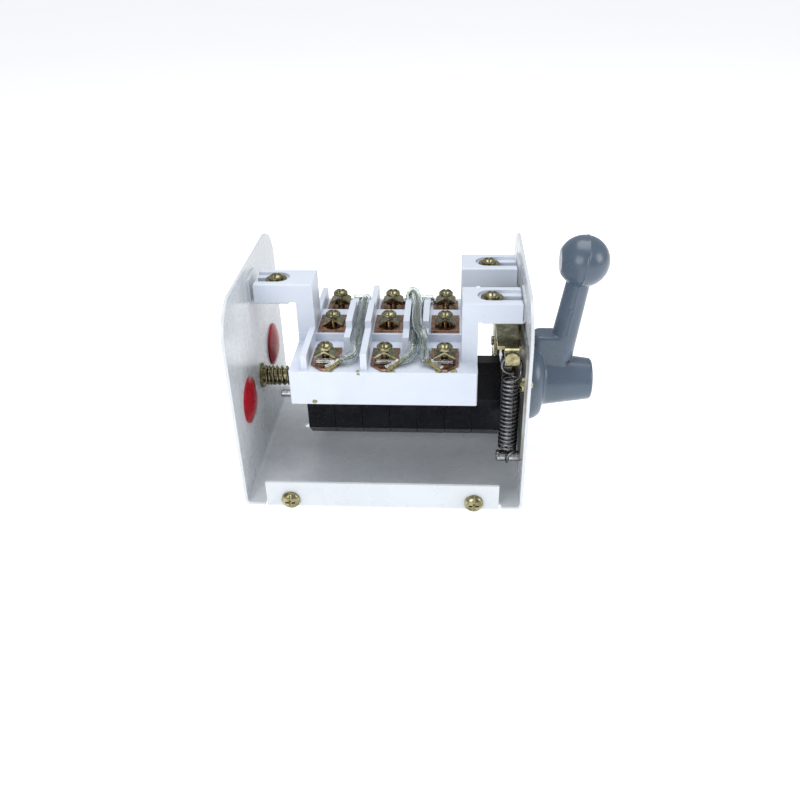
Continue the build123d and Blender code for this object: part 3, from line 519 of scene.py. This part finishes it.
def slot_of(node):
    """The record's material slot that a CAD node is painted with."""
    return frame["nodes"][node].data.materials[0].name.split(".")[0]


# ---------------------------------------------------------------- handle
def moulded_handle():
    """The handle as one soft-cornered moulding, with its parting ridge and an ejector mark."""
    low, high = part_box("handle")
    ball_radius = 13.1 * MM
    ball = Vector((101.1 * MM, 0, high.z - ball_radius))
    foot = Vector((94.5 * MM, 0, ball.z - 45.4 * MM))
    arm = (ball - foot).normalized()
    parting = arm.cross(Vector((0, 1, 0)))
    piece = new_piece("handle_moulding", welded("handle"), "blue_grey_plastic")
    remesh = piece.modifiers.new("one skin", "REMESH")
    remesh.mode = "VOXEL"
    remesh.voxel_size = 0.40 * MM
    soften = piece.modifiers.new("moulded corners", "SMOOTH")
    soften.factor = 0.5
    soften.iterations = 2
    apply_modifiers(piece)
    piece.data.shade_smooth()
    mark = foot.lerp(ball, 0.43)
    normals = [v.normal.copy() for v in piece.data.vertices]
    for vert, normal in zip(piece.data.vertices, normals):
        off_plane = (vert.co - ball).dot(parting) / (0.34 * MM)
        above = min(1.0, max(0.0, (vert.co.z - 71 * MM) / (3 * MM)))
        facing = 1.0 - min(1.0, abs(normal.dot(parting)) * 1.6)
        rise = 0.36 * MM * math.exp(-off_plane ** 2) * above * facing
        around = math.hypot(vert.co.x - mark.x, vert.co.z - mark.z) / MM
        if vert.co.y < 0:
            rise += 0.16 * MM * math.exp(-((around - 1.5) / 0.35) ** 2)
        vert.co += normal * rise
        vert.co.x = min(vert.co.x, high.x)
        vert.co.z = min(vert.co.z, high.z)
    return stand_for(piece, "blue_grey_plastic", "handle")


# ---------------------------------------------------------------- springs
def helix(centre, axis, radius, turns, advance, steps=28, first=0.0):
    """A coil's centreline; advance(t) is the way along the axis, from t 0 to 1."""
    axis = Vector(axis)
    side = axis.orthogonal().normalized()
    if abs(axis.z) > 0.9:
        side = Vector((0, 1, 0))
    up = axis.cross(side)
    points = []
    count = round(turns * steps)
    for i in range(count + 1):
        t = i / count
        angle = first + 2 * math.pi * turns * t
        ring = side * math.cos(angle) + up * math.sin(angle)
        points.append(Vector(centre) + axis * advance(t) + ring * radius)
    return points


def bridge(start, start_way, end, end_way, count=7):
    """Points of a smooth bend from one stretch of wire into the next, both ends left out."""
    reach = (end - start).length * 0.42
    a, b = start + start_way * reach, end - end_way * reach
    points = []
    for i in range(1, count):
        t = i / count
        points.append(
            start * (1 - t) ** 3 + 3 * a * t * (1 - t) ** 2 + 3 * b * t * t * (1 - t) + end * t ** 3
        )
    return points


def detent_spring(node, name, outward):
    """An extension spring: a loop round its pin below, a ring in the yoke's hook above."""
    low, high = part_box(node)
    wire, mean, ring_radius = 0.75 * MM, 4.2 * MM, 4.7 * MM
    loop_rise, ring_rise = 3.4 * MM, 6.4 * MM
    centre = Vector((64.3 * MM, math.copysign(43.0 * MM, low.y), 0))
    low_loop = low.z + wire + mean
    ring_z = high.z - wire - ring_radius
    coil_low = low_loop + loop_rise
    coil_high = ring_z - ring_rise
    turns = 18.25
    side = Vector((0, outward, 0))
    across = Vector((-outward, 0, 0))

    def arc(height, way, radius, start, sweep):
        points = []
        for i in range(33):
            angle = math.radians(start + sweep * i / 32)
            rise = Vector((0, 0, height + radius * math.sin(angle)))
            points.append(centre + radius * math.cos(angle) * way + rise)
        return points

    body = []
    count = round(turns * 30)
    for i in range(6, count - 5):
        t = i / count
        angle = 2 * math.pi * turns * t
        flat = side * math.cos(angle) + across * math.sin(angle)
        body.append(centre + mean * flat + Vector((0, 0, coil_low + (coil_high - coil_low) * t)))
    bottom = arc(low_loop, side, mean, -235, 235)
    top = arc(ring_z, across, ring_radius, 0, 290)
    path = bottom
    path += bridge(bottom[-1], Vector((0, 0, 1)), body[0], (body[1] - body[0]).normalized())
    path += body
    path += bridge(body[-1], (body[-1] - body[-2]).normalized(), top[0], Vector((0, 0, 1)))
    path += top
    shape = bmesh.new()
    add_tube(shape, path, wire, 14, 0.15 * MM)
    piece = new_piece(name, shape, "spring_steel")
    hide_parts(node)
    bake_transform(piece)
    return piece


def thrust_coil():
    """The compression spring round the shaft's left end, its last turns closed up."""
    low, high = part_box("thrust_spring")
    wire = 0.7 * MM
    radius = (high.y - low.y) / 2 - wire
    run = high.x - low.x - 2 * wire
    closed = 0.09

    def advance(t):
        """Slow at both ends, where the turns lie against each other, and even between."""
        eased = t - closed * math.sin(2 * math.pi * t) / 2
        return run * eased

    centre = Vector((low.x + wire, (low.y + high.y) / 2, (low.z + high.z) / 2))
    shape = bmesh.new()
    add_tube(shape, helix(centre, (1, 0, 0), radius, 9.5, advance), wire, 14, 0.1 * MM)
    piece = new_piece("thrust_spring_coil", shape, "yellow_zinc")
    return stand_for(piece, "yellow_zinc", "thrust_spring")


# ---------------------------------------------------------------- jumper wires
END_Z = 74.9
LOW_Z = 80.0
HIGH_Z = 85.5
CHANNEL_1_X = -13.4
CHANNEL_2_X = 16.6
JUMPER_ROUTES = {
    "jumper_sleeve_1": [
        (-20.9, -36.4, END_Z), (CHANNEL_1_X, -36.0, END_Z + 0.3), (CHANNEL_1_X, -27.0, LOW_Z),
        (CHANNEL_1_X, 27.0, LOW_Z), (CHANNEL_1_X, 36.0, END_Z + 0.3), (-20.9, 36.4, END_Z),
    ],
    "jumper_sleeve_2": [
        (9.2, -36.4, END_Z), (14.2, -35.4, END_Z + 0.3), (CHANNEL_2_X, -26.5, LOW_Z),
        (CHANNEL_2_X, 26.5, LOW_Z), (19.0, 35.4, END_Z + 0.3), (24.0, 36.4, END_Z),
    ],
    "jumper_sleeve_3": [
        (22.3, -37.0, END_Z + 0.2), (22.0, -33.0, 77.6), (20.8, -27.0, 85.0),
        (CHANNEL_2_X, -17.5, HIGH_Z), (CHANNEL_2_X, 17.5, HIGH_Z),
        (12.4, 27.0, 85.0), (11.2, 33.0, 77.6), (10.9, 37.0, END_Z + 0.2),
    ],
}
SLEEVE_RADIUS = 2.6
BORE_RADIUS = 2.2


def add_bore(shape, path, radius, sides):
    """The sleeve's inner wall, facing inwards."""
    before = set(shape.faces)
    add_tube(shape, path, radius, sides)
    bmesh.ops.reverse_faces(shape, faces=[face for face in shape.faces if face not in before])


def strands_along(shape, path, count, lay, radius, spread):
    """Twists that many wires round the path, one turn in each lay of its length."""
    across, upright = frames_along(path)
    run = np.concatenate([[0], np.cumsum(np.linalg.norm(np.diff(path, axis=0), axis=1))])
    for i in range(count):
        angle = 2 * math.pi * (run / lay + i / count)
        offset = np.cos(angle)[:, None] * across + np.sin(angle)[:, None] * upright
        add_tube(shape, path + spread * offset, radius, 8, radius * 0.6)


def jumper(label, route):
    """A clear sleeve with its tinned strands inside."""
    path = smooth_path([[c * MM for c in point] for point in route], 16)
    shape = bmesh.new()
    add_tube(shape, path, SLEEVE_RADIUS * MM, 28)
    add_bore(shape, path, BORE_RADIUS * MM, 28)
    sleeve = new_piece(label + "_clear", shape, "clear_sleeve")
    stand_for(sleeve, "clear_sleeve", label)
    shape = bmesh.new()
    strands_along(shape, path, 5, 30 * MM, 0.25 * MM, 0.70 * MM)
    strands_along(shape, path, 2, 24 * MM, 0.25 * MM, 0.28 * MM)
    strands = new_piece(label.replace("sleeve", "strands"), shape, "tinned_wire")
    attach(strands, "root")


def bare_ends():
    """The strands pressed flat under the saddles, wavy and slightly uneven."""
    shuffle = random.Random(7)
    shape = bmesh.new()
    for low, high in islands("jumper_ends"):
        size = high - low
        wire = size.z / 4
        rows = 2
        per_row = int(size.y / (2 * wire))
        for layer in range(rows):
            for i in range(per_row):
                y = low.y + wire + i * (size.y - 2 * wire) / (per_row - 1)
                z = low.z + wire + layer * 2 * wire * 0.98
                phase = shuffle.uniform(0, 2 * math.pi)
                cut = shuffle.uniform(0, 0.8) * MM
                path = []
                for k in range(25):
                    t = k / 24
                    x = low.x + cut + (size.x - 2 * cut) * t
                    sway = 0.07 * MM * math.sin(5 * t + phase)
                    path.append((x, y + sway, z))
                add_tube(shape, path, wire * 0.98, 8, 0.1 * MM)
    piece = new_piece("jumper_bare_strands", shape, "tinned_wire")
    return stand_for(piece, "tinned_wire", "jumper_ends")


FRONT_ENDS = ((-28.4, 1), (1.6, 1), (31.6, -1))
LEDGE_Z = 71.8


def front_ribbons():
    """The loose bare strands along the slanted edges of the front strips, outside the saddles."""
    shuffle = random.Random(11)
    shape = bmesh.new()
    for column_x, side in FRONT_ENDS:
        for i in range(10):
            inward = 0.40 * (i % 5)
            height = 73.62 + 0.40 * (i // 5)
            points = []
            for k in range(13):
                t = k / 12
                x = 7.7 - 6.2 * t - 0.70 * inward + 0.10 * math.sin(4 * t + i)
                y = -36.3 - 6.1 * t + 0.71 * inward + shuffle.uniform(-0.03, 0.03)
                z = height + 1.1 * (1 - t) ** 3
                points.append(((column_x + side * x) * MM, y * MM, z * MM))
            add_tube(shape, points, 0.27 * MM, 8, 0.1 * MM)
    piece = new_piece("jumper_front_ribbons", shape, "tinned_wire")
    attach(piece, "root")


def flux_blobs():
    """Dried flux along the wire ends at the front strips, and drips on the ledge and front face."""
    face_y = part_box("terminal_block")[0].y / MM
    shape = bmesh.new()
    for column_x, side in FRONT_ENDS:
        for k in range(9):
            t = k / 8
            spot = (column_x + side * (9.6 - 7.4 * t), -35.2 - 7.0 * t, 75.0 - 2.5 * t)
            size = 1.25 + 0.25 * math.sin(5.0 * t + column_x)
            add_drip(shape, Vector(spot) * MM, size * MM, 0.95 * MM, k + 7 * side)
    drips = [
        (29.0, -41.6, 2.0, 0.5), (36.0, -41.4, 1.8, 0.5), (-11.3, -42.8, 1.0, 0.4),
        (-24.4, -42.9, 1.0, 0.5), (6.4, -42.7, 1.1, 0.5),
    ]
    for index, (x, y, radius, height) in enumerate(drips):
        add_drip(shape, Vector((x, y, LEDGE_Z)) * MM, radius * MM, height * MM, 40 + index)
    add_drip(shape, Vector((-33.8, face_y, 54.6)) * MM, 1.3 * MM, 0.35 * MM, 20, upright=True)
    add_drip(shape, Vector((-11.0, face_y, 70.9)) * MM, 0.8 * MM, 0.30 * MM, 21, upright=True)
    piece = new_piece("flux_drips", shape, "old_flux")
    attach(piece, "root")


def add_drip(shape, centre, radius, height, seed, upright=False):
    """One flattened, uneven drop that sits on a level face, or on the front face if upright."""
    made = bmesh.ops.create_icosphere(shape, subdivisions=4, radius=1.0)
    for vert in made["verts"]:
        unit = vert.co.copy()
        wobble = 1 + 0.35 * noise.noise(unit * 1.6 + Vector((seed * 3.1, seed, 0)))
        flat = Vector((unit.x * radius, unit.y * radius, unit.z * height)) * wobble
        if upright:
            flat = Vector((flat.x, -flat.z, flat.y * 0.8))
        vert.co = centre + flat


# ---------------------------------------------------------------- studio
def studio_floor():
    shape = bmesh.new()
    bmesh.ops.create_grid(shape, x_segments=8, y_segments=8, size=3.0)
    mesh = bpy.data.meshes.new("floor")
    shape.to_mesh(mesh)
    shape.free()
    mesh.materials.append(pale_floor())
    floor = bpy.data.objects.new("floor", mesh)
    bpy.context.scene.collection.objects.link(floor)


def soft_box(name, place, target, size, power, colour=(1, 1, 1)):
    """A square area light at place that faces target."""
    lamp = bpy.data.lights.new(name, "AREA")
    lamp.shape = "SQUARE"
    lamp.size = size
    lamp.energy = power
    lamp.color = colour
    holder = bpy.data.objects.new(name, lamp)
    holder.location = place
    holder.rotation_euler = (Vector(target) - Vector(place)).to_track_quat("-Z", "Y").to_euler()
    bpy.context.scene.collection.objects.link(holder)


def studio_light():
    centre = (cad_low + cad_high) / 2
    soft_box("key", (-0.35, -0.75, 0.45), centre, 0.50, 3.1, (0.97, 0.985, 1.0))
    soft_box("top", (0.05, 0.10, 0.95), centre, 0.70, 4.9)
    soft_box("side", (0.75, -0.25, 0.35), centre, 0.35, 1.5)
    world = bpy.data.worlds.new("studio")
    bpy.context.scene.world = world
    world.use_nodes = True
    background = world.node_tree.nodes["Background"]
    background.inputs["Color"].default_value = (0.93, 0.96, 1.0, 1)
    background.inputs["Strength"].default_value = 0.50
    bpy.context.scene.view_settings.view_transform = "Standard"


def studio_camera():
    """A camera in front and above, level with the photograph's angle."""
    yaw, pitch, roll = (math.radians(a) for a in (-4.13, 31.66, -1.48))
    ahead = Vector(
        (math.sin(yaw) * math.cos(pitch), math.cos(yaw) * math.cos(pitch), -math.sin(pitch))
    )
    right = Vector((math.cos(yaw), -math.sin(yaw), 0))
    up = right.cross(ahead)
    tilted_right = right * math.cos(roll) + up * math.sin(roll)
    tilted_up = up * math.cos(roll) - right * math.sin(roll)
    lens = bpy.data.cameras.new("camera")
    lens.sensor_width = 36
    lens.lens = 36.03
    camera = bpy.data.objects.new("camera", lens)
    rotation = Matrix((tilted_right, tilted_up, -ahead)).transposed()
    camera.matrix_world = Matrix.Translation((0.03413, -0.38569, 0.26745)) @ rotation.to_4x4()
    bpy.context.scene.collection.objects.link(camera)
    bpy.context.scene.camera = camera


refine_all()
moulded_handle()
detent_spring("detent_spring_front", "detent_coil_front", -1)
detent_spring("detent_spring_rear", "detent_coil_rear", 1)
thrust_coil()
for sleeve_label, sleeve_route in JUMPER_ROUTES.items():
    jumper(sleeve_label, sleeve_route)
bare_ends()
front_ribbons()
flux_blobs()
studio_floor()
studio_light()
studio_camera()
